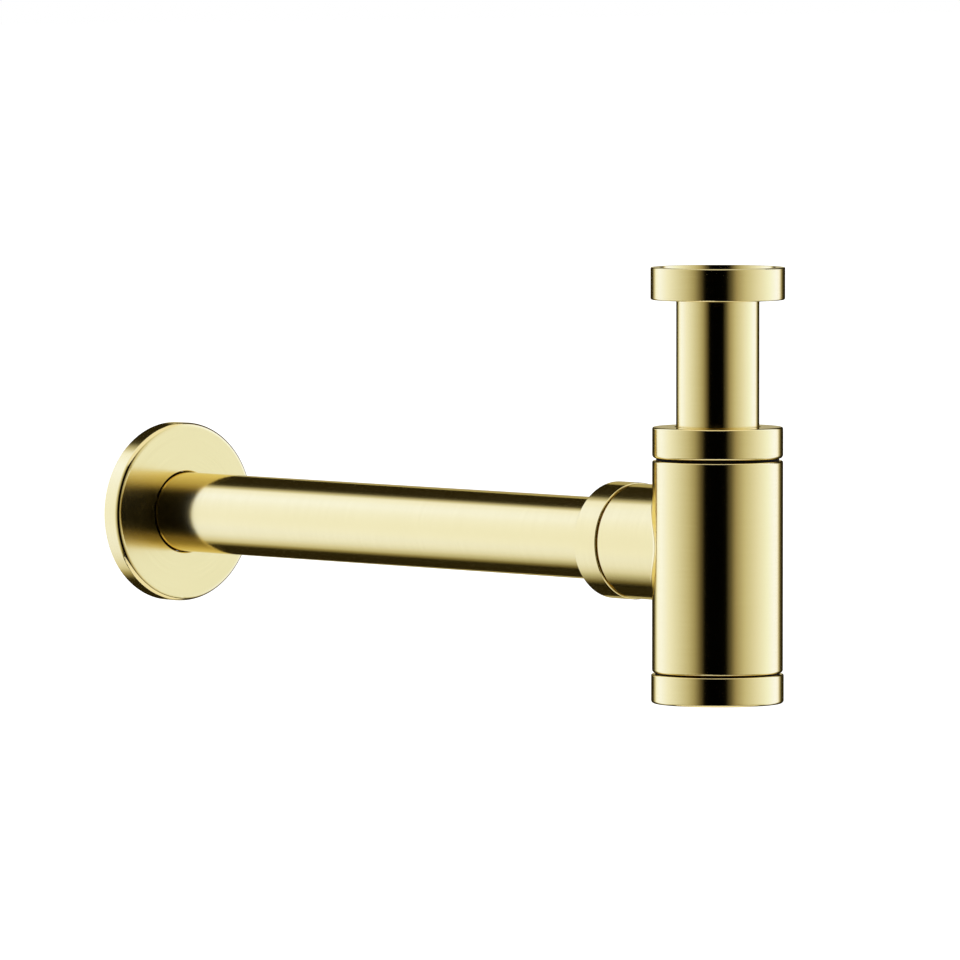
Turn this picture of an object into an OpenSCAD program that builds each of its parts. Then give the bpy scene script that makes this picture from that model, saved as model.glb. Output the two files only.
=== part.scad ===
// Brass bottle trap for a washbasin. The origin is where the basin waste bears on its washer,
// +Z runs up the inlet tube and +Y along the outlet tube towards the wall.

/* [Waste nut] */
// Outer diameter of the nut that takes the basin waste
waste_nut_d = 51.7; // [50:0.1:56]
// Height of the waste nut
waste_nut_h = 12.45; // [12:0.05:16]
// Diameter across the crests of the waste's G 1 1/4 thread, with its clearance
thread_d = 42; // [41.9:0.01:42.4]
// Length of the nut's thread
thread_l = 4.4; // [4:0.1:7]
// Diameter at the open end of the mouth that widens above the thread
mouth_d = 44.8; // [44:0.1:47]

/* [Inlet tube] */
// Outer diameter of the inlet tube and of the wall tube
tube_d = 32; // [31:0.1:33]
// Wall thickness of both tubes
tube_wall = 1; // [0.8:0.1:1.5]
// Length of tube that shows between the waste nut and the body nut
tube_shown = 48.85; // [44:0.05:80]
// Distance from the waste's seat down to the open lower end of the tube
tube_reach = 145; // [120:1:145]

/* [Bottle] */
// Outer diameter of the bottle and of the nut on its neck
body_d = 50.32; // [49.8:0.02:54]
// Height of the bottle between its nut and its cap
body_h = 81.6; // [78:0.1:110]
// Wall thickness of the bottle
body_wall = 2.46; // [2:0.02:3]
// Height of the nut on the neck
body_nut_h = 12.1; // [12:0.05:16]
// Gap between the neck nut and the bottle
neck_gap = 0.85; // [0.5:0.05:1.5]
// Distance from the top of the bottle down to the middle of the outlet
outlet_drop = 33; // [30:0.5:40]

/* [Base cap] */
// Outer diameter of the cap under the bottle
cap_d = 51; // [50.4:0.1:54]
// Height of the cap
cap_h = 11.25; // [10.5:0.05:14]
// Gap between the bottle and the cap
cap_gap = 0.5; // [0.3:0.05:1]
// Thickness of the cap's floor
cap_floor = 2.5; // [2:0.1:3]

/* [Outlet] */
// Outer diameter of the side arm
arm_d = 44.6; // [44:0.1:46]
// Distance from the bottle's axis to the end of the arm's full diameter
arm_l = 44.3; // [40:0.1:60]
// Outer diameter of the outlet nut
outlet_nut_d = 45.4; // [45:0.1:48]
// Height of the outlet nut
outlet_nut_h = 12.25; // [12:0.05:16]
// Gap between the arm and the outlet nut
arm_gap = 0.85; // [0.5:0.05:1.5]
// Distance from the bottle's axis to the inner end of the wall tube
wall_tube_start = 28; // [27:0.5:34]
// Length of the wall tube that stands out behind the flange, to enter the wall
spigot_l = 14; // [10:1:40]
// Diameter of that end
spigot_d = 31.5; // [30:0.1:31.6]

/* [Wall flange] */
// Outer diameter of the flange
flange_d = 72; // [66:0.5:90]
// Depth of the flange from its front face to the wall
flange_h = 8.6; // [8:0.1:12]
// Distance from the bottle's axis to the flange's front face
flange_front = 315.4; // [150:0.1:400]
// Thickness of the flange's front and rim
flange_wall = 2.2; // [1.6:0.1:3]
// Rounding of the flange's front edge
flange_round = 2; // [0.5:0.1:2.2]

/* [Hidden] */
$fn = 96;

// How far a cut runs past the surface it opens
past = 1;
// A neck is drawn at the root of its thread and its nut at the root of its own: the room between them
// holds the two ridges, each this high, with this clearance to the opposite root
ridge_h = 0.9;
ridge_clear = 0.1;
thread_room = ridge_h + ridge_clear;
// Radial clearance of a nut's lip or a hole around a tube, and of a seal on its tube
lip_clear = 0.3;
seal_clear = 0.08;
// Axial clearance between loose rings in a stack
stack_clear = 0.03;
// Clearance of a seal from the cone that it sits in
seat_clear = 0.2;
// How far the mouth starts outside the thread
mouth_step = 0.8;
// Gap that the solder fills between the arm and the bottle
solder_gap = 0.02;
// Small bevel on a turned edge
bevel = 0.4;

// Radii of the tubes
tube_r = tube_d / 2;
tube_bore = tube_r - tube_wall;
lip_r = tube_r + lip_clear;

// Thicknesses of the rings in the waste nut, and of the nuts' lips
washer_t = 1.5;
collar_t = 1.4;
slip_t = 0.9;
lip_t = 2;
collar_r = 19.2;

// Heights in the waste nut, from the seat down to the nut's lower face
collar_top = -washer_t;
collar_low = collar_top - collar_t;
top_slip_high = collar_low - stack_clear;
top_slip_low = top_slip_high - slip_t;
top_lip = top_slip_low - stack_clear;
mouth_h = 2.5;
waste_nut_top = thread_l + mouth_h;
waste_nut_low = waste_nut_top - waste_nut_h;

// Heights of the neck nut, the bottle and the cap
body_nut_top = waste_nut_low - tube_shown;
body_nut_low = body_nut_top - body_nut_h;
body_top = body_nut_low - neck_gap;
body_low = body_top - body_h;
cap_top = body_low - cap_gap;
cap_low = cap_top - cap_h;
cap_inside = cap_low + cap_floor;
outlet_z = body_top - outlet_drop;

// The bottle's own radii, and those of its neck and its foot under their threads
body_r = body_d / 2;
body_bore = body_r - body_wall;
neck_nut_bore = 22.7;
neck_r = neck_nut_bore - thread_room;
neck_bore = 18.3;
shoulder_t = 3;
cap_bore = 23.3;
foot_r = cap_bore - thread_room;
foot_bore = 20.9;
gasket_t = 2;

// The rings that close the gaps over and under the bottle, around the ridges of its threads
joint_clear = 0.05;
neck_joint_in = neck_r + ridge_h + joint_clear;
neck_joint_out = 23.65;
cap_joint_in = foot_r + ridge_h + joint_clear;
cap_joint_out = 23.95;

// A seal's flange above the neck, its cone's depth, and what the cone takes off the radius
seal_flange = 1.6;
seat_depth = 4;
seat_taper = 2.3;

// The neck of the bottle and the neck of the arm end under the seals' flanges
seal_stack = seal_flange + slip_t + 2 * stack_clear;
neck_top = body_nut_top - lip_t - seal_stack;
outlet_nut_near = arm_l + arm_gap;
outlet_nut_far = outlet_nut_near + outlet_nut_h;
arm_r = arm_d / 2;
arm_bore = 17.2;
outlet_nut_bore = 21.4;
arm_neck_r = outlet_nut_bore - thread_room;
arm_neck_end = outlet_nut_far - lip_t - seal_stack;

// The flange, its hub and the grip ring in the hub, and where the tube steps down to its spigot
flange_back = flange_front + flange_h;
spigot_start = flange_back - 0.5;
flange_hole = tube_r + 0.4;
hub_r = 20;
hub_back = flange_back - 1;
grip_r = 1.05;
grip_groove_w = 2.5;
grip_groove_r = 18.3;
grip_y = flange_front + 4.6;

// What a rounded corner of radius r leaves outside itself, with the corner at the origin
module corner_waste(r) {
    if (r > 0) translate([-r, -r]) difference() {
        square(r + past);
        circle(r = r);
    }
}

// Section of a ring, in radius and height, with its outer corners rounded
module ring_section(r_in, r_out, low, high, round_low, round_high) {
    difference() {
        translate([r_in, low]) square([r_out - r_in, high - low]);
        translate([r_out, high]) corner_waste(round_high);
        translate([r_out, low]) mirror([0, 1]) corner_waste(round_low);
    }
}

// Section of a plain bore between two heights
module bore_section(r, low, high) {
    translate([0, low]) square([r, high - low]);
}

// Section of the bevel at the mouth of a bore, at height z, opening upwards
module mouth_bevel(r, z, size) {
    polygon([[0, z - size], [r, z - size], [r + size + past, z + past], [0, z + past]]);
}

// Section of the same bevel, opening downwards
module foot_bevel(r, z, size) {
    translate([0, z]) mirror([0, 1]) mouth_bevel(r, 0, size);
}

// Section of what the cone of a seal's seat takes out of a neck that ends at height z
module seat_section(bore, z) {
    polygon([[0, z - seat_depth], [bore, z - seat_depth], [bore + seat_taper, z],
        [bore + seat_taper, z + past], [0, z + past]]);
}

// A cone seal for a seat of the given bore whose neck ends at height z
module cone_seal(bore, z) {
    wide = bore + seat_taper - seat_clear;
    narrow = bore - seat_clear;
    rotate_extrude() polygon([[tube_r + seal_clear, z - seat_depth + bevel], [narrow, z - seat_depth + bevel],
        [wide, z], [wide, z + seal_flange], [tube_r + seal_clear, z + seal_flange]]);
}

// A nylon slip ring, from its lower face up
module slip_ring(r_out, low) {
    rotate_extrude() ring_section(tube_r + 0.2, r_out, low, low + slip_t, 0.2, 0.2);
}

// A nut with a bore for its thread below and a lip above that holds its seal down
module neck_nut(r_out, r_bore, low, high, round_low, round_high) {
    rotate_extrude() difference() {
        ring_section(0, r_out, low, high, round_low, round_high);
        bore_section(r_bore, low - past, high - lip_t);
        foot_bevel(r_bore, low, bevel);
        bore_section(lip_r, low, high + past);
        mouth_bevel(lip_r, high, 0.3);
    }
}

// Turns a piece modelled along +Z so that it lies along the outlet, from the bottle's axis
module along_outlet() {
    translate([0, 0, outlet_z]) rotate([-90, 0, 0]) children();
}

module inlet_tube() {
    color([0.86, 0.79, 0.52]) rotate_extrude() difference() {
        union() {
            ring_section(tube_bore, tube_r, -tube_reach, collar_top, bevel, 0.2);
            ring_section(tube_bore, collar_r, collar_low, collar_top, 0.2, 0.3);
        }
        mouth_bevel(tube_bore, collar_top, 0.3);
    }
}

module waste_washer() {
    color([0.16, 0.16, 0.16]) rotate_extrude() ring_section(tube_bore + 0.4, collar_r + 0.1, collar_top, 0, 0, 0);
}

module top_slip_ring() {
    color([0.93, 0.92, 0.88]) slip_ring(collar_r, top_slip_low);
}

module top_nut() {
    color([0.84, 0.77, 0.50]) rotate_extrude() difference() {
        ring_section(0, waste_nut_d / 2, waste_nut_low, waste_nut_top, 0.6, bevel);
        bore_section(lip_r, waste_nut_low - past, 0);
        foot_bevel(lip_r, waste_nut_low, 0.3);
        bore_section(thread_d / 2 + 0.35, top_lip, 0);
        bore_section(thread_d / 2, 0, thread_l);
        polygon([[0, thread_l], [thread_d / 2 + mouth_step, thread_l], [mouth_d / 2, waste_nut_top],
            [mouth_d / 2, waste_nut_top + past], [0, waste_nut_top + past]]);
    }
}

module inlet_seal() {
    color([0.16, 0.16, 0.16]) cone_seal(neck_bore, neck_top);
}

module bottle_shell() {
    foot_low = cap_inside + gasket_t + 2 * stack_clear;
    color([0.86, 0.79, 0.52]) difference() {
        rotate_extrude() difference() {
            union() {
                ring_section(0, body_r, body_low, body_top, 1.2, 0.7);
                ring_section(0, neck_r, body_top - past, neck_top, 0, 0.6);
                ring_section(0, foot_r, foot_low, body_low + past, 0.6, 0);
            }
            bore_section(body_bore, body_low + past, body_top - shoulder_t);
            bore_section(foot_bore, foot_low - past, body_low + 2 * past);
            bore_section(neck_bore, body_top - shoulder_t - past, neck_top);
            seat_section(neck_bore, neck_top);
        }
        along_outlet() cylinder(r = arm_bore, h = arm_l);
    }
}

module side_arm() {
    color([0.86, 0.79, 0.52]) difference() {
        along_outlet() rotate_extrude() difference() {
            union() {
                ring_section(0, arm_r, 0, arm_l, 0, bevel);
                ring_section(0, arm_neck_r, 0, arm_neck_end, 0, 0.6);
            }
            bore_section(arm_bore, -past, arm_neck_end);
            seat_section(arm_bore, arm_neck_end);
        }
        translate([0, 0, outlet_z - body_d]) cylinder(r = body_r + solder_gap, h = 2 * body_d);
    }
}

module neck_joint_ring() {
    color([0.16, 0.16, 0.16]) rotate_extrude()
        ring_section(neck_joint_in, neck_joint_out, body_top, body_nut_low - stack_clear, 0, 0);
}

module cap_joint_ring() {
    color([0.16, 0.16, 0.16]) rotate_extrude()
        ring_section(cap_joint_in, cap_joint_out, cap_top + stack_clear, body_low, 0, 0);
}

module body_slip_ring() {
    color([0.93, 0.92, 0.88]) slip_ring(neck_bore + seat_taper - seat_clear, neck_top + seal_flange + stack_clear);
}

module body_nut() {
    color([0.84, 0.77, 0.50])
        neck_nut(body_r, neck_nut_bore, body_nut_low, body_nut_top, 1.5, 0.8);
}

module cap_seal() {
    color([0.16, 0.16, 0.16]) rotate_extrude()
        ring_section(foot_bore - 1, foot_r, cap_inside + stack_clear, cap_inside + stack_clear + gasket_t, 0, 0);
}

module base_cap() {
    color([0.84, 0.77, 0.50]) rotate_extrude() difference() {
        ring_section(0, cap_d / 2, cap_low, cap_top, 1.2, 0.6);
        bore_section(cap_bore, cap_inside, cap_top + past);
        mouth_bevel(cap_bore, cap_top, bevel);
    }
}

module outlet_seal() {
    color([0.16, 0.16, 0.16]) along_outlet() cone_seal(arm_bore, arm_neck_end);
}

module wall_tube() {
    color([0.86, 0.79, 0.52]) along_outlet() rotate_extrude() difference() {
        union() {
            ring_section(0, tube_r, wall_tube_start, spigot_start, 0.3, 0.2);
            ring_section(0, spigot_d / 2, spigot_start - past, flange_back + spigot_l, 0, 0.6);
        }
        bore_section(tube_bore, wall_tube_start - past, flange_back + spigot_l + past);
    }
}

module outlet_slip_ring() {
    color([0.93, 0.92, 0.88]) along_outlet()
        slip_ring(arm_bore + seat_taper - seat_clear, arm_neck_end + seal_flange + stack_clear);
}

module outlet_nut() {
    color([0.84, 0.77, 0.50]) along_outlet()
        neck_nut(outlet_nut_d / 2, outlet_nut_bore, outlet_nut_near, outlet_nut_far, bevel, bevel);
}

module flange_ring() {
    color([0.16, 0.16, 0.16]) along_outlet() translate([0, 0, grip_y]) rotate_extrude()
        translate([tube_r + 0.06 + grip_r, 0]) circle(r = grip_r);
}

module wall_flange() {
    color([0.84, 0.77, 0.50]) along_outlet() rotate_extrude() difference() {
        ring_section(0, flange_d / 2, flange_front, flange_back, flange_round, 0.3);
        bore_section(flange_hole, flange_front - past, flange_back + past);
        foot_bevel(flange_hole, flange_front, bevel);
        translate([grip_groove_r - grip_r * 2, grip_y - grip_groove_w / 2]) square([grip_r * 2, grip_groove_w]);
        translate([hub_r, flange_front + flange_wall])
            square([flange_d / 2 - flange_wall - hub_r, flange_h]);
        translate([0, hub_back]) square([hub_r + past, flange_h]);
    }
}

inlet_tube();
waste_washer();
top_slip_ring();
top_nut();
inlet_seal();
bottle_shell();
side_arm();
neck_joint_ring();
cap_joint_ring();
body_slip_ring();
body_nut();
cap_seal();
base_cap();
outlet_seal();
wall_tube();
outlet_slip_ring();
outlet_nut();
flange_ring();
wall_flange();
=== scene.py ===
"""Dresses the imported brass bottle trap: its finishes, its threads, and the studio that shows it."""

import math

import bmesh
import bpy
from bpy.props import FloatProperty, FloatVectorProperty, IntProperty, PointerProperty
from mathutils import Matrix, Vector


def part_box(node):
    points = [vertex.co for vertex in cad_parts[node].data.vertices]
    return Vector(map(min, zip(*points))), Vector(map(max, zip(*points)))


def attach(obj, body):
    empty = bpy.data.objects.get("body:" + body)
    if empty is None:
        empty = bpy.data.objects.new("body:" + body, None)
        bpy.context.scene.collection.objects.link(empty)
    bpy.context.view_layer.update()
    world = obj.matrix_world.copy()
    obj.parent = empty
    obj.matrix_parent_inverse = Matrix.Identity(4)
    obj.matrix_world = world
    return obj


bl_info = {
    "name": "Bottle trap dresser",
    "version": (1, 0, 0),
    "blender": (4, 5, 0),
    "location": "View3D > Sidebar > Bottle Trap",
    "description": "Finishes, threads and studio for a brass bottle trap",
    "category": "Object",
}

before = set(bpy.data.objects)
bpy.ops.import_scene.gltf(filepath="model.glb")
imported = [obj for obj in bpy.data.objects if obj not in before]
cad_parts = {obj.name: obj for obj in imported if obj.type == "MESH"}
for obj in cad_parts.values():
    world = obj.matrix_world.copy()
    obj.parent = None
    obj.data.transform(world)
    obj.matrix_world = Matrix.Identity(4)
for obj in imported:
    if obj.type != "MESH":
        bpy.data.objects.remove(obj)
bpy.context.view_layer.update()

# Height of the outlet's axis, taken from the wall tube
OUTLET_Z = sum(corner.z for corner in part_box("wall_tube")) / 2

# Turns local +Z to the outlet's +Y
ALONG_OUTLET = Matrix.Translation((0, 0, OUTLET_Z)) @ Matrix.Rotation(-math.pi / 2, 4, "X")
UPRIGHT = Matrix.Identity(4)

# Nodes that are turned about the bottle's axis, and about the outlet's, with the flange apart
UPRIGHT_BRASS = ("inlet_tube", "top_nut", "bottle_shell", "body_nut", "base_cap")
OUTLET_BRASS = ("side_arm", "wall_tube", "outlet_nut")
RUBBER = (
    "waste_washer",
    "inlet_seal",
    "neck_joint_ring",
    "cap_joint_ring",
    "cap_seal",
    "outlet_seal",
    "flange_ring",
)
NYLON = ("top_slip_ring", "body_slip_ring", "outlet_slip_ring")

# Radius that each ridge stands on, and its two ends along the axis
WASTE_ROOT = 0.0210
WASTE_SPAN = (0.0001, 0.0046)
NECK_ROOT = 0.0217
NECK_SPAN = (-0.0668, -0.0593)
NECK_NUT_ROOT = 0.0227
NECK_NUT_SPAN = (-0.0668, -0.0572)
FOOT_ROOT = 0.0223
FOOT_SPAN = (-0.1557, -0.1492)
CAP_ROOT = 0.0233
CAP_SPAN = (-0.1557, -0.1499)
ARM_ROOT = 0.0204
ARM_SPAN = (0.0449, 0.0525)
ARM_NUT_ROOT = 0.0214
ARM_NUT_SPAN = (0.0449, 0.0547)

# How far a ridge's root sinks into its piece, and the slope of its flanks
RIDGE_BITE = 0.00006
FLANK_ANGLE = math.radians(30)

# Edges of a ridge, and of the bead, that turn by more than this show sharp
RIDGE_SHARP = math.radians(25)
BEAD_SHARP = math.radians(40)

# What most of a noise texture's factor lies between
NOISE_LOW = 0.3
NOISE_HIGH = 0.7

# How much of the brass's pattern is lines, with clouds for the rest, and the clouds' scale
LINE_SHARE = 0.8
CLOUD_SCALE = 45.0

# Width over which the flange's soft face turns into its rim
SOFT_EDGE = 0.001

# The walls and flags stand round this point, about half way along the outlet
STUDIO_CENTRE = Vector((0, 0.15, OUTLET_Z))

# The near and far edges of the light walls and of the flags between them, in degrees off the camera
LEFT_WALL = (-22, -150)
RIGHT_WALL = (13, 145)
FRONT_FLAG = (-22, 13)
BACK_RIGHT_FLAG = (145, 175.5)
BEHIND_FLAG = (175.5, 184.5)
BACK_LEFT_FLAG = (184.5, 210)

# Degrees that one flat of a wall spans
WALL_FLAT = 4

# Height over the outlet where the walls' edges lean in full, as a share of their distance
LEAN_HEIGHT = 0.9

# The floor's reach each way, its grey, and the camera's sensor and sight
FLOOR_REACH = 40
FLOOR_GREY = 0.8
SENSOR_WIDTH = 36
CAMERA_SIGHT = 100

# The light walls' colours by the angle off the camera, which the finish shows as its highlights
LEFT_LIGHT = (
    (-22, (0.00, 0.00, 0.00)),
    (-30, (0.09, 0.07, 0.03)),
    (-40, (0.24, 0.21, 0.11)),
    (-52, (0.36, 0.33, 0.21)),
    (-72, (0.48, 0.47, 0.38)),
    (-96, (0.60, 0.61, 0.59)),
    (-120, (0.66, 0.71, 0.90)),
    (-134, (0.67, 0.71, 0.86)),
    (-141, (0.40, 0.38, 0.30)),
    (-150, (0.03, 0.025, 0.01)),
)
RIGHT_LIGHT = (
    (13, (0.00, 0.00, 0.00)),
    (15, (0.00, 0.00, 0.00)),
    (24, (0.08, 0.065, 0.03)),
    (32, (0.23, 0.19, 0.095)),
    (48, (0.39, 0.36, 0.23)),
    (72, (0.53, 0.52, 0.44)),
    (96, (0.62, 0.66, 0.66)),
    (118, (0.67, 0.72, 0.98)),
    (128, (0.67, 0.70, 0.90)),
    (135, (0.34, 0.31, 0.24)),
    (140, (0.13, 0.11, 0.06)),
    (145, (0.025, 0.02, 0.008)),
)

# What the walls keep of that light by height over the outlet, as a share of their distance
HEIGHT_LIGHT = (
    (-1.15, (0.00, 0.00, 0.00)),
    (-0.95, (0.22, 0.18, 0.08)),
    (-0.86, (0.55, 0.49, 0.27)),
    (-0.765, (0.76, 0.69, 0.48)),
    (-0.67, (0.84, 0.80, 0.64)),
    (-0.59, (0.91, 0.88, 0.77)),
    (-0.42, (0.96, 0.955, 0.94)),
    (-0.25, (1.00, 1.00, 1.00)),
    (0.60, (1.00, 1.00, 1.00)),
    (0.87, (0.92, 0.89, 0.76)),
)


class BrassFinish(bpy.types.PropertyGroup):
    """The brushed brass of the turned pieces, and the softer face of the wall flange"""

    colour: FloatVectorProperty(
        name="Brass",
        description="Colour of the brass",
        subtype="COLOR",
        size=3,
        min=0,
        max=1,
        default=(0.88, 0.745, 0.375),
    )
    line_colour: FloatVectorProperty(
        name="Lines",
        description="Colour of the brass in the turned lines",
        subtype="COLOR",
        size=3,
        min=0,
        max=1,
        default=(0.85, 0.71, 0.345),
    )
    edge_tint: FloatVectorProperty(
        name="Edge tint",
        description="Tint of what the brass reflects where it is seen edge on",
        subtype="COLOR",
        size=3,
        min=0,
        max=1,
        default=(0.94, 0.84, 0.51),
    )
    roughness: FloatProperty(
        name="Roughness",
        description="Roughness of the brass between its turned lines",
        subtype="FACTOR",
        min=0.02,
        max=1,
        default=0.11,
    )
    line_roughness: FloatProperty(
        name="Line roughness",
        description="What the turned lines add to the roughness",
        subtype="FACTOR",
        min=0,
        max=1,
        default=0.03,
    )
    flange_roughness: FloatProperty(
        name="Flange roughness",
        description="Roughness of the wall flange's face, which is pressed and not turned",
        subtype="FACTOR",
        min=0.02,
        max=1,
        default=0.16,
    )
    flange_face: FloatProperty(
        name="Flange face",
        description="Radius where the wall flange's softer face ends",
        unit="LENGTH",
        precision=4,
        min=0.02,
        default=0.0345,
    )
    line_spacing: FloatProperty(
        name="Line spacing",
        description="Distance between turned lines",
        unit="LENGTH",
        precision=5,
        min=0.00005,
        default=0.00022,
    )
    line_depth: FloatProperty(
        name="Line depth",
        description="Depth of a turned line",
        unit="LENGTH",
        precision=6,
        min=0,
        default=0.0000006,
    )


class SealFinish(bpy.types.PropertyGroup):
    """The rubber seals, whose dark brown colour is partly painted shade, and the nylon slip rings"""

    # The rubber's own black, and painted shade too: its brown cast copies the shade in the gaps where the
    # joint rings sit
    rubber: FloatVectorProperty(
        name="Rubber",
        description="Colour of the seals",
        subtype="COLOR",
        size=3,
        min=0,
        max=1,
        default=(0.010, 0.007, 0.005),
    )
    nylon: FloatVectorProperty(
        name="Nylon",
        description="Colour of the slip rings",
        subtype="COLOR",
        size=3,
        min=0,
        max=1,
        default=(0.78, 0.76, 0.70),
    )


class ThreadSizes(bpy.types.PropertyGroup):
    """The threads of the nuts, the necks and the cap"""

    pitch: FloatProperty(
        name="Pitch",
        description="Pitch of the neck, arm and cap threads; the joints turn the nuts by it",
        unit="LENGTH",
        precision=4,
        min=0.001,
        default=0.002,
    )
    ridge: FloatProperty(
        name="Ridge",
        description="Height of a ridge above its root",
        unit="LENGTH",
        precision=4,
        min=0.0003,
        max=0.0009,
        default=0.0009,
    )
    waste_pitch: FloatProperty(
        name="Waste pitch",
        description="Pitch of the waste's thread, eleven turns to the inch",
        unit="LENGTH",
        precision=5,
        min=0.001,
        default=0.0254 / 11,
    )
    waste_ridge: FloatProperty(
        name="Waste ridge",
        description="Height of a ridge of the waste's thread above its root",
        unit="LENGTH",
        precision=5,
        min=0.0005,
        max=0.0016,
        default=0.00145,
    )
    crest: FloatProperty(
        name="Crest",
        description="Width of a ridge's flat top",
        unit="LENGTH",
        precision=4,
        min=0.0001,
        default=0.0003,
    )
    steps: IntProperty(
        name="Steps",
        description="Faces in one turn of a thread",
        min=16,
        max=128,
        default=64,
    )


class BeadSizes(bpy.types.PropertyGroup):
    """The bead of solder between the side arm and the bottle"""

    on_arm: FloatProperty(
        name="On the arm",
        description="How far the bead reaches along the arm",
        unit="LENGTH",
        precision=4,
        min=0.0002,
        default=0.0008,
    )
    on_bottle: FloatProperty(
        name="On the bottle",
        description="How far the bead reaches over the bottle",
        unit="LENGTH",
        precision=4,
        min=0.0002,
        default=0.0016,
    )
    sunk: FloatProperty(
        name="Sunk",
        description="How far the bead's back lies inside the arm and the bottle",
        unit="LENGTH",
        precision=4,
        min=0.0001,
        default=0.0002,
    )
    faces: IntProperty(
        name="Faces",
        description="Faces across the bead",
        min=3,
        max=16,
        default=8,
    )
    steps: IntProperty(
        name="Steps",
        description="Faces round the arm",
        min=32,
        max=256,
        default=144,
    )


class StudioSetup(bpy.types.PropertyGroup):
    """The floor, the light walls, the flags and the camera"""

    floor_drop: FloatProperty(
        name="Floor drop",
        description="Distance from the outlet down to the floor",
        unit="LENGTH",
        min=0.3,
        default=0.6,
    )
    wall_distance: FloatProperty(
        name="Wall distance",
        description="Radius of the ring of light walls",
        unit="LENGTH",
        min=1,
        default=4,
    )
    wall_height: FloatProperty(
        name="Wall height",
        description="Half the height of the light walls",
        unit="LENGTH",
        min=1,
        default=5,
    )
    wall_colour: FloatVectorProperty(
        name="Wall colour",
        description="Colour of the light walls' lamps",
        subtype="COLOR",
        size=3,
        min=0,
        max=1,
        default=(0.73, 0.785, 1.0),
    )
    wall_strength: FloatProperty(
        name="Wall strength",
        description="Strength of the light walls at their brightest",
        min=0,
        default=2.33,
    )
    flag_glow: FloatVectorProperty(
        name="Flag glow",
        description="What the flags beside the light walls' far edges give off",
        subtype="COLOR",
        size=3,
        min=0,
        max=1,
        default=(0.025, 0.020, 0.008),
    )
    behind_glow: FloatVectorProperty(
        name="Glow behind",
        description="What the narrow flag right behind the trap gives off",
        subtype="COLOR",
        size=3,
        min=0,
        max=1,
        default=(0.47, 0.45, 0.33),
    )
    soft_light: FloatProperty(
        name="Soft light",
        description="Strength of the white world where it isn't seen",
        min=0,
        default=0.6,
    )
    floor_glow: FloatProperty(
        name="Floor glow",
        description="What is added to the floor where it is seen, so that it shows white",
        min=0,
        default=0.78,
    )
    far_lean: FloatProperty(
        name="Far lean",
        description="How far the walls' far edges close in at head and foot, as a share of their width",
        min=0,
        max=0.3,
        default=0.045,
    )
    near_lean: FloatProperty(
        name="Near lean",
        description="How far the walls' near edges close in at head and foot, as a share of their width",
        min=0,
        max=0.3,
        default=0.02,
    )
    camera_azimuth: FloatProperty(
        name="Camera azimuth",
        description="Direction of the camera round the trap",
        subtype="ANGLE",
        default=math.radians(-41.734),
    )
    camera_elevation: FloatProperty(
        name="Camera elevation",
        description="Height of the camera above the horizon",
        subtype="ANGLE",
        default=math.radians(3.079),
    )
    camera_place: FloatVectorProperty(
        name="Camera place",
        description="Where the camera stands",
        subtype="TRANSLATION",
        size=3,
        precision=5,
        default=(-3.10209, -3.34047, 0.17028),
    )
    lens: FloatProperty(
        name="Lens",
        description="Focal length in millimetres on a 36 mm sensor",
        min=20,
        default=445.72,
    )


# Finishes


def new_material(name, kind="ShaderNodeBsdfPrincipled"):
    """A material with its output and one shader, its tree, and the shader."""
    material = bpy.data.materials.new(name)
    material.use_nodes = True
    tree = material.node_tree
    tree.nodes.clear()
    output = tree.nodes.new("ShaderNodeOutputMaterial")
    shader = tree.nodes.new(kind)
    tree.links.new(shader.outputs[0], output.inputs["Surface"])
    return material, tree, shader


def feed(tree, node, values):
    """Gives a node's inputs, in their order, a link or a constant each."""
    for place, value in enumerate(values):
        if isinstance(value, bpy.types.NodeSocket):
            tree.links.new(value, node.inputs[place])
        else:
            node.inputs[place].default_value = value


def maths(tree, operation, *values):
    """The result of a Math node."""
    node = tree.nodes.new("ShaderNodeMath")
    node.operation = operation
    feed(tree, node, values)
    return node.outputs["Value"]


def vector_maths(tree, operation, *values):
    """The outputs of a Vector Math node."""
    node = tree.nodes.new("ShaderNodeVectorMath")
    node.operation = operation
    feed(tree, node, values)
    return node.outputs


def split_axes(tree, vector):
    """The X, Y and Z of a vector."""
    node = tree.nodes.new("ShaderNodeSeparateXYZ")
    tree.links.new(vector, node.inputs["Vector"])
    return node.outputs["X"], node.outputs["Y"], node.outputs["Z"]


def local_place(tree, placed):
    """Object coordinates, taken back to a piece that stands on the origin and rises along +Z."""
    coordinates = tree.nodes.new("ShaderNodeTexCoord")
    mapping = tree.nodes.new("ShaderNodeMapping")
    mapping.vector_type = "TEXTURE"
    mapping.inputs["Location"].default_value = placed.to_translation()
    mapping.inputs["Rotation"].default_value = placed.to_euler()
    tree.links.new(coordinates.outputs["Object"], mapping.inputs["Vector"])
    return mapping.outputs["Vector"]


def noise(tree, vector, scale, detail):
    """The factor of a noise texture read at a vector."""
    node = tree.nodes.new("ShaderNodeTexNoise")
    node.inputs["Scale"].default_value = scale
    node.inputs["Detail"].default_value = detail
    tree.links.new(vector, node.inputs["Vector"])
    return node.outputs["Fac"]


def spread(tree, value, low, high, to_low, to_high):
    """A value taken from one range to another."""
    node = tree.nodes.new("ShaderNodeMapRange")
    feed(tree, node, (value, low, high, to_low, to_high))
    return node.outputs["Result"]


def spread_noise(tree, value, to_low, to_high):
    """A noise taken to the given range."""
    return spread(tree, value, NOISE_LOW, NOISE_HIGH, to_low, to_high)


def blend_colours(tree, factor, first, second):
    """A colour between two, by a factor."""
    node = tree.nodes.new("ShaderNodeMix")
    node.data_type = "RGBA"
    node.inputs["A"].default_value = (*first, 1)
    node.inputs["B"].default_value = (*second, 1)
    tree.links.new(factor, node.inputs["Factor"])
    return node.outputs["Result"]


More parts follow.
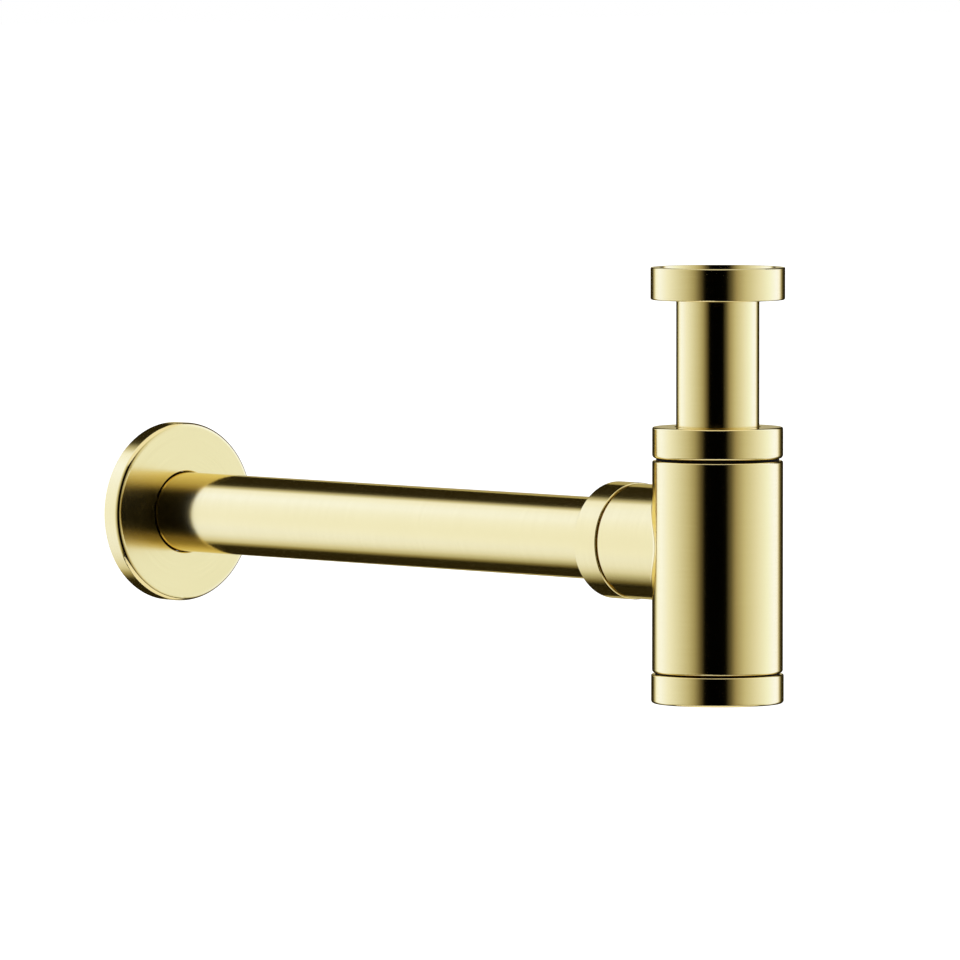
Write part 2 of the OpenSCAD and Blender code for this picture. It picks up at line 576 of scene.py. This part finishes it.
def colour_ramp(tree, value, stops, near, far):
    """A colour read from stops along a value that runs from near to far."""
    node = tree.nodes.new("ShaderNodeValToRGB")
    elements = node.color_ramp.elements
    for order, (place, colour) in enumerate(stops):
        position = (place - near) / (far - near)
        element = elements[order] if order < 2 else elements.new(position)
        element.position = position
        element.color = (*colour, 1)
    tree.links.new(value, node.inputs["Fac"])
    return node.outputs["Color"]


def bump(tree, shader, height, distance):
    """Gives the shader a relief of the given depth."""
    node = tree.nodes.new("ShaderNodeBump")
    node.inputs["Distance"].default_value = distance
    tree.links.new(height, node.inputs["Height"])
    tree.links.new(node.outputs["Normal"], shader.inputs["Normal"])


def turned_lines(tree, placed, spacing):
    """A noise drawn out into fine rings about the piece's axis, on its sides and on its flat faces alike.

    The place and the distance from the axis come with it.
    """
    place = local_place(tree, placed)
    flat = vector_maths(tree, "MULTIPLY", place, (1, 1, 0))["Vector"]
    radius = vector_maths(tree, "LENGTH", flat)["Value"]
    around = vector_maths(tree, "NORMALIZE", flat)["Vector"]
    across = maths(tree, "ADD", split_axes(tree, place)[2], radius)
    joined = tree.nodes.new("ShaderNodeCombineXYZ")
    feed(tree, joined, (*split_axes(tree, around)[:2], maths(tree, "DIVIDE", across, spacing)))
    return noise(tree, joined.outputs["Vector"], 1.0, 2.0), place, radius


def turned_brass(name, placed, finish, soft_radius=0.0):
    """Brushed brass whose fine lines run round the piece's axis, softer out to the soft radius."""
    material, tree, shader = new_material(name)
    lines, place, radius = turned_lines(tree, placed, finish.line_spacing)
    clouds = noise(tree, place, CLOUD_SCALE, 2.0)
    line_part = maths(tree, "MULTIPLY", lines, LINE_SHARE)
    cloud_part = maths(tree, "MULTIPLY", clouds, 1 - LINE_SHARE)
    pattern = maths(tree, "ADD", line_part, cloud_part)
    colour = blend_colours(tree, spread_noise(tree, pattern, 0, 1), finish.colour, finish.line_colour)
    tree.links.new(colour, shader.inputs["Base Color"])
    base = finish.roughness
    if soft_radius:
        soft = finish.flange_roughness
        base = spread(tree, radius, soft_radius - SOFT_EDGE, soft_radius, soft, finish.roughness)
    added = spread_noise(tree, pattern, 0, finish.line_roughness)
    tree.links.new(maths(tree, "ADD", added, base), shader.inputs["Roughness"])
    bump(tree, shader, lines, finish.line_depth)
    shader.inputs["Metallic"].default_value = 1
    shader.inputs["Specular Tint"].default_value = (*finish.edge_tint, 1)
    material.diffuse_color = (*finish.colour, 1)
    material.metallic = 1
    return material


def moulded(name, colour, roughness, sheen, grain, depth):
    """A moulded rubber or plastic with a fine grain, that is darker and smoother in places."""
    material, tree, shader = new_material(name)
    coordinates = tree.nodes.new("ShaderNodeTexCoord")
    fine = noise(tree, coordinates.outputs["Object"], grain, 3.0)
    darker = [channel * 0.82 for channel in colour]
    shade = blend_colours(tree, spread_noise(tree, fine, 0, 1), darker, colour)
    tree.links.new(shade, shader.inputs["Base Color"])
    rough = spread_noise(tree, fine, roughness * 0.88, roughness * 1.12)
    tree.links.new(rough, shader.inputs["Roughness"])
    bump(tree, shader, fine, depth)
    shader.inputs["Specular IOR Level"].default_value = sheen
    material.diffuse_color = (*colour, 1)
    return material


def give(nodes, material):
    """Puts one material on every slot of these nodes."""
    for name in nodes:
        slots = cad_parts[name].data.materials
        if not slots:
            slots.append(material)
        for place in range(len(slots)):
            slots[place] = material


# Meshes


def object_of(name, bm):
    """Makes a bmesh an object of the scene, and frees it."""
    mesh = bpy.data.meshes.new(name)
    bm.to_mesh(mesh)
    bm.free()
    made = bpy.data.objects.new(name, mesh)
    bpy.context.scene.collection.objects.link(made)
    return made


def brass_piece(name, bm, placed, sharp):
    """Takes a bmesh made along +Z to its place, as an object in smooth brushed brass."""
    bmesh.ops.recalc_face_normals(bm, faces=bm.faces)
    bmesh.ops.transform(bm, matrix=placed, verts=bm.verts)
    piece = object_of(name, bm)
    piece.data.shade_smooth()
    piece.data.set_sharp_from_angle(angle=sharp)
    finish = "brass_along_outlet" if placed is ALONG_OUTLET else "brass_upright"
    piece.data.materials.append(bpy.data.materials[finish])
    return piece


# Threads


def add_ridge(name, body, placed, root, height, span, pitch, sizes, lift=0.0):
    """A thread's ridge in brushed brass, wound right-handed over its span and run out at both ends.

    It stands on the root radius and rises outwards by height, or inwards where height is below 0. The lift
    starts it higher, so that two ridges of one pitch can lie between each other.
    """
    low, high = span
    foot = root - math.copysign(RIDGE_BITE, height)
    flank = (abs(height) + RIDGE_BITE) * math.tan(FLANK_ANGLE)
    half = sizes.crest / 2
    turns = (high - low - 2 * (half + flank)) / pitch
    start = low + half + flank + lift
    steps = round((turns - lift / pitch) * sizes.steps)
    bm = bmesh.new()
    corners = [
        bm.verts.new((radius, 0, start + rise))
        for radius, rise in (
            (foot, -half - flank),
            (root + height, -half),
            (root + height, half),
            (foot, half + flank),
        )
    ]
    section = bm.faces.new(corners)
    bmesh.ops.spin(
        bm,
        geom=[section],
        cent=(0, 0, 0),
        axis=(0, 0, 1),
        dvec=(0, 0, pitch / sizes.steps),
        angle=2 * math.pi * steps / sizes.steps,
        steps=steps,
    )
    run_out = sizes.steps // 4
    for order, vertex in enumerate(bm.verts):
        ring = order // len(corners)
        share = min(1, (min(ring, steps - ring) + 1) / run_out)
        radius = math.hypot(vertex.co.x, vertex.co.y)
        wanted = foot + (radius - foot) * share
        vertex.co.x *= wanted / radius
        vertex.co.y *= wanted / radius
    piece = brass_piece(name, bm, placed, RIDGE_SHARP)
    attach(piece, body)


def add_outer_ridge(name, body, placed, root, span, sizes):
    """The ridge on the outside of a neck or foot."""
    add_ridge(name, body, placed, root, sizes.ridge, span, sizes.pitch, sizes)


def add_inner_ridge(name, body, placed, root, span, sizes):
    """The ridge inside a nut or cap, half a pitch from that of its neck or foot."""
    add_ridge(name, body, placed, root, -sizes.ridge, span, sizes.pitch, sizes, sizes.pitch / 2)


# Solder


def half_width(box):
    """The radius of an upright turned piece, or of one that lies along the outlet, from its box."""
    low, high = box
    return (high.x - low.x) / 2


def solder_bead(name, arm_radius, bottle_radius, sizes):
    """A bead with a hollow face, that lies in the corner round the arm and meets both surfaces flush.

    It is spun as a plain ring, and each of its points is then moved to the corner and along the bottle.
    """
    bm = bmesh.new()
    shares = [step / sizes.faces for step in range(sizes.faces + 1)]
    section = [(sizes.on_bottle * share**2, sizes.on_arm * (1 - share) ** 2) for share in shares]
    section += [(sizes.on_bottle, -sizes.sunk), (-sizes.sunk, -sizes.sunk), (-sizes.sunk, sizes.on_arm)]
    corners = [bm.verts.new((arm_radius + out, 0, up)) for out, up in section]
    edges = [bm.edges.new(pair) for pair in zip(corners, corners[1:] + corners[:1])]
    bmesh.ops.spin(
        bm,
        geom=corners + edges,
        cent=(0, 0, 0),
        axis=(0, 0, 1),
        dvec=(0, 0, 0),
        angle=2 * math.pi,
        steps=sizes.steps,
        use_merge=True,
    )
    for vertex in bm.verts:
        angle = math.atan2(vertex.co.y, vertex.co.x)
        out = math.hypot(vertex.co.x, vertex.co.y) - arm_radius
        side = arm_radius * math.cos(angle)
        slope = side * math.cos(angle) / math.sqrt(bottle_radius**2 - side**2)
        radius = arm_radius + out / math.hypot(1, slope)
        side = radius * math.cos(angle)
        away = math.sqrt(bottle_radius**2 - side**2)
        vertex.co = (side, radius * math.sin(angle), away + vertex.co.z)
    return brass_piece(name, bm, ALONG_OUTLET, BEAD_SHARP)


# Steps


class TRAP_OT_brass(bpy.types.Operator):
    """Finishes the turned pieces in brushed brass"""

    bl_idname = "trap.brass"
    bl_label = "Brushed brass"

    def execute(self, context):
        finish = context.scene.trap_brass
        give(UPRIGHT_BRASS, turned_brass("brass_upright", UPRIGHT, finish))
        give(OUTLET_BRASS, turned_brass("brass_along_outlet", ALONG_OUTLET, finish))
        give(("wall_flange",), turned_brass("brass_flange", ALONG_OUTLET, finish, finish.flange_face))
        return {"FINISHED"}


class TRAP_OT_seals(bpy.types.Operator):
    """Finishes the rubber seals and the nylon slip rings"""

    bl_idname = "trap.seals"
    bl_label = "Seals and slip rings"

    def execute(self, context):
        finish = context.scene.trap_seals
        # The seals get a near-black brown with almost no sheen: their own black plus painted shade, so that
        # the joint rings show as the dark gaps at the neck and the cap
        rubber = moulded("seal_rubber", finish.rubber, roughness=0.6, sheen=0.03, grain=900.0, depth=0.00002)
        nylon = moulded("ring_nylon", finish.nylon, roughness=0.42, sheen=0.5, grain=500.0, depth=0.00001)
        give(RUBBER, rubber)
        give(NYLON, nylon)
        return {"FINISHED"}


class TRAP_OT_waste_thread(bpy.types.Operator):
    """Winds the thread that takes the basin's waste into the top nut"""

    bl_idname = "trap.waste_thread"
    bl_label = "Waste thread"

    def execute(self, context):
        sizes = context.scene.trap_threads
        height = -sizes.waste_ridge
        pitch = sizes.waste_pitch
        add_ridge("waste_nut_thread", "waste_nut", UPRIGHT, WASTE_ROOT, height, WASTE_SPAN, pitch, sizes)
        return {"FINISHED"}


class TRAP_OT_neck_threads(bpy.types.Operator):
    """Winds the threads of the bottle's neck and of its nut"""

    bl_idname = "trap.neck_threads"
    bl_label = "Neck threads"

    def execute(self, context):
        sizes = context.scene.trap_threads
        add_outer_ridge("neck_thread", "bottle", UPRIGHT, NECK_ROOT, NECK_SPAN, sizes)
        add_inner_ridge("neck_nut_thread", "neck_nut", UPRIGHT, NECK_NUT_ROOT, NECK_NUT_SPAN, sizes)
        return {"FINISHED"}


class TRAP_OT_cap_threads(bpy.types.Operator):
    """Winds the threads of the bottle's foot and of its cap"""

    bl_idname = "trap.cap_threads"
    bl_label = "Cap threads"

    def execute(self, context):
        sizes = context.scene.trap_threads
        add_outer_ridge("foot_thread", "bottle", UPRIGHT, FOOT_ROOT, FOOT_SPAN, sizes)
        add_inner_ridge("cap_thread", "cap", UPRIGHT, CAP_ROOT, CAP_SPAN, sizes)
        return {"FINISHED"}


class TRAP_OT_arm_threads(bpy.types.Operator):
    """Winds the threads of the side arm's neck and of its nut"""

    bl_idname = "trap.arm_threads"
    bl_label = "Arm threads"

    def execute(self, context):
        sizes = context.scene.trap_threads
        add_outer_ridge("arm_thread", "bottle", ALONG_OUTLET, ARM_ROOT, ARM_SPAN, sizes)
        add_inner_ridge("outlet_nut_thread", "arm_nut", ALONG_OUTLET, ARM_NUT_ROOT, ARM_NUT_SPAN, sizes)
        return {"FINISHED"}


class TRAP_OT_solder_bead(bpy.types.Operator):
    """Lays the bead of solder round the joint between the side arm and the bottle"""

    bl_idname = "trap.solder_bead"
    bl_label = "Solder bead"

    def execute(self, context):
        arm_radius = half_width(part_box("side_arm"))
        bottle_radius = half_width(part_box("bottle_shell"))
        bead = solder_bead("solder_bead", arm_radius, bottle_radius, context.scene.trap_bead)
        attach(bead, "bottle")
        return {"FINISHED"}


# Studio


def wall_of(name, setup, span, material):
    """A tall curved wall round the trap, from one angle off the camera to another."""
    near, far = span
    start = setup.camera_azimuth - math.pi / 2 + math.radians(near)
    foot = STUDIO_CENTRE + Vector((math.cos(start), math.sin(start), 0)) * setup.wall_distance
    bm = bmesh.new()
    ends = [bm.verts.new(foot + Vector((0, 0, rise))) for rise in (-setup.wall_height, setup.wall_height)]
    edge = bm.edges.new(ends)
    bmesh.ops.spin(
        bm,
        geom=[edge],
        cent=STUDIO_CENTRE,
        axis=(0, 0, 1),
        dvec=(0, 0, 0),
        angle=math.radians(far - near),
        steps=max(4, round(abs(far - near) / WALL_FLAT)),
    )
    wall = object_of(name, bm)
    wall.data.materials.append(material)
    wall.visible_camera = False


def light_wall_material(name, setup, span, stops):
    """Light that follows the stops from the wall's near edge to its far one, and dims at head and foot."""
    material, tree, light = new_material(name, "ShaderNodeEmission")
    turn = Matrix.Rotation(setup.camera_azimuth - math.pi / 2, 4, "Z")
    place = local_place(tree, Matrix.Translation(STUDIO_CENTRE) @ turn)
    around = tree.nodes.new("ShaderNodeTexGradient")
    around.gradient_type = "RADIAL"
    tree.links.new(place, around.inputs["Vector"])
    near, far = span
    share = spread(tree, around.outputs["Fac"], 0.5 + near / 360, 0.5 + far / 360, 0, 1)
    height = maths(tree, "DIVIDE", split_axes(tree, place)[2], setup.wall_distance)
    rise = maths(tree, "ABSOLUTE", height)
    narrowing = spread(tree, rise, 0, LEAN_HEIGHT, 1, 1 + setup.near_lean + setup.far_lean)
    shift = spread(tree, rise, 0, LEAN_HEIGHT, 0, -setup.near_lean)
    leaning = maths(tree, "ADD", maths(tree, "MULTIPLY", share, narrowing), shift)
    across = colour_ramp(tree, leaning, stops, near, far)
    lowest = HEIGHT_LIGHT[0][0]
    highest = HEIGHT_LIGHT[-1][0]
    level = spread(tree, height, lowest, highest, 0, 1)
    upwards = colour_ramp(tree, level, HEIGHT_LIGHT, lowest, highest)
    both = vector_maths(tree, "MULTIPLY", across, upwards)["Vector"]
    lit = vector_maths(tree, "MULTIPLY", both, setup.wall_colour)["Vector"]
    tree.links.new(lit, light.inputs["Color"])
    light.inputs["Strength"].default_value = setup.wall_strength
    return material


def light_wall(name, setup, span, stops):
    """A wall that gives off light by its stops."""
    wall_of(name, setup, span, light_wall_material(name, setup, span, stops))


def flag_material(name, glow):
    """A dark flag that gives off only a faint glow."""
    material, _, shader = new_material(name)
    shader.inputs["Base Color"].default_value = (0, 0, 0, 1)
    shader.inputs["Specular IOR Level"].default_value = 0
    shader.inputs["Emission Color"].default_value = (*glow, 1)
    shader.inputs["Emission Strength"].default_value = 1
    return material


def seen_rays(tree):
    """1 for rays that show the background: from the camera, in gloss and through glass."""
    rays = tree.nodes.new("ShaderNodeLightPath")
    either = maths(tree, "MAXIMUM", rays.outputs["Is Camera Ray"], rays.outputs["Is Glossy Ray"])
    return maths(tree, "MAXIMUM", either, rays.outputs["Is Transmission Ray"])


def make_world(setup):
    """A world that is white where it is seen, and gives the rest a plain soft light."""
    world = bpy.data.worlds.new("studio_white")
    world.use_nodes = True
    tree = world.node_tree
    tree.nodes.clear()
    output = tree.nodes.new("ShaderNodeOutputWorld")
    background = tree.nodes.new("ShaderNodeBackground")
    background.inputs["Color"].default_value = (1, 1, 1, 1)
    strength = spread(tree, seen_rays(tree), 0, 1, setup.soft_light, 1)
    tree.links.new(strength, background.inputs["Strength"])
    tree.links.new(background.outputs["Background"], output.inputs["Surface"])
    bpy.context.scene.world = world


def make_floor(setup):
    """A wide pale floor far below the trap, that shows white from every side."""
    material, tree, shader = new_material("floor_white")
    shader.inputs["Base Color"].default_value = (FLOOR_GREY, FLOOR_GREY, FLOOR_GREY, 1)
    shader.inputs["Roughness"].default_value = 0.9
    shader.inputs["Specular IOR Level"].default_value = 0
    shader.inputs["Emission Color"].default_value = (1, 1, 1, 1)
    glow = spread(tree, seen_rays(tree), 0, 1, 0, setup.floor_glow)
    tree.links.new(glow, shader.inputs["Emission Strength"])
    bm = bmesh.new()
    bmesh.ops.create_grid(bm, x_segments=1, y_segments=1, size=FLOOR_REACH)
    bmesh.ops.translate(bm, verts=bm.verts, vec=(0, 0, OUTLET_Z - setup.floor_drop))
    floor = object_of("floor", bm)
    floor.data.materials.append(material)
    floor.visible_glossy = False


def make_camera(setup):
    """The camera at the photograph's angle and framing."""
    data = bpy.data.cameras.new("camera")
    data.lens = setup.lens
    data.sensor_width = SENSOR_WIDTH
    data.clip_end = CAMERA_SIGHT
    camera = bpy.data.objects.new("camera", data)
    azimuth = setup.camera_azimuth
    rise = setup.camera_elevation
    level = math.cos(rise)
    back = Vector((math.sin(azimuth) * level, -math.cos(azimuth) * level, math.sin(rise)))
    camera.rotation_mode = "QUATERNION"
    camera.rotation_quaternion = (-back).to_track_quat("-Z", "Y")
    camera.location = setup.camera_place
    bpy.context.scene.collection.objects.link(camera)
    bpy.context.scene.camera = camera


class TRAP_OT_studio(bpy.types.Operator):
    """Makes the white studio: its floor, light walls, dark flags and camera"""

    bl_idname = "trap.studio"
    bl_label = "Studio"

    def execute(self, context):
        setup = context.scene.trap_studio
        context.scene.view_settings.view_transform = "Standard"
        make_world(setup)
        make_floor(setup)
        light_wall("light_wall_left", setup, LEFT_WALL, LEFT_LIGHT)
        light_wall("light_wall_right", setup, RIGHT_WALL, RIGHT_LIGHT)
        wall_of("flag_front", setup, FRONT_FLAG, flag_material("flag_black", (0, 0, 0)))
        dim = flag_material("flag_dim", setup.flag_glow)
        wall_of("flag_back_right", setup, BACK_RIGHT_FLAG, dim)
        wall_of("flag_behind", setup, BEHIND_FLAG, flag_material("flag_warm", setup.behind_glow))
        wall_of("flag_back_left", setup, BACK_LEFT_FLAG, dim)
        make_camera(setup)
        return {"FINISHED"}


class TRAP_PT_panel(bpy.types.Panel):
    """The trap's steps and the values that they use"""

    bl_idname = "TRAP_PT_panel"
    bl_label = "Bottle trap"
    bl_space_type = "VIEW_3D"
    bl_region_type = "UI"
    bl_category = "Bottle Trap"

    def draw(self, context):
        scene = context.scene
        for step in STEPS:
            self.layout.operator(step.bl_idname)
        for name, group in GROUPS:
            column = self.layout.column(align=True)
            for value in group.__annotations__:
                column.prop(getattr(scene, name), value)


STEPS = (
    TRAP_OT_brass,
    TRAP_OT_seals,
    TRAP_OT_waste_thread,
    TRAP_OT_neck_threads,
    TRAP_OT_cap_threads,
    TRAP_OT_arm_threads,
    TRAP_OT_solder_bead,
    TRAP_OT_studio,
)
GROUPS = (
    ("trap_brass", BrassFinish),
    ("trap_seals", SealFinish),
    ("trap_threads", ThreadSizes),
    ("trap_bead", BeadSizes),
    ("trap_studio", StudioSetup),
)


def register():
    for name, group in GROUPS:
        bpy.utils.register_class(group)
        setattr(bpy.types.Scene, name, PointerProperty(type=group))
    for step in STEPS:
        bpy.utils.register_class(step)
    bpy.utils.register_class(TRAP_PT_panel)


def unregister():
    bpy.utils.unregister_class(TRAP_PT_panel)
    for step in reversed(STEPS):
        bpy.utils.unregister_class(step)
    for name, group in reversed(GROUPS):
        delattr(bpy.types.Scene, name)
        bpy.utils.unregister_class(group)


def main():
    register()
    bpy.ops.trap.brass()
    bpy.ops.trap.seals()
    bpy.ops.trap.waste_thread()
    bpy.ops.trap.neck_threads()
    bpy.ops.trap.cap_threads()
    bpy.ops.trap.arm_threads()
    bpy.ops.trap.solder_bead()
    bpy.ops.trap.studio()


if __name__ == "__main__":
    main()
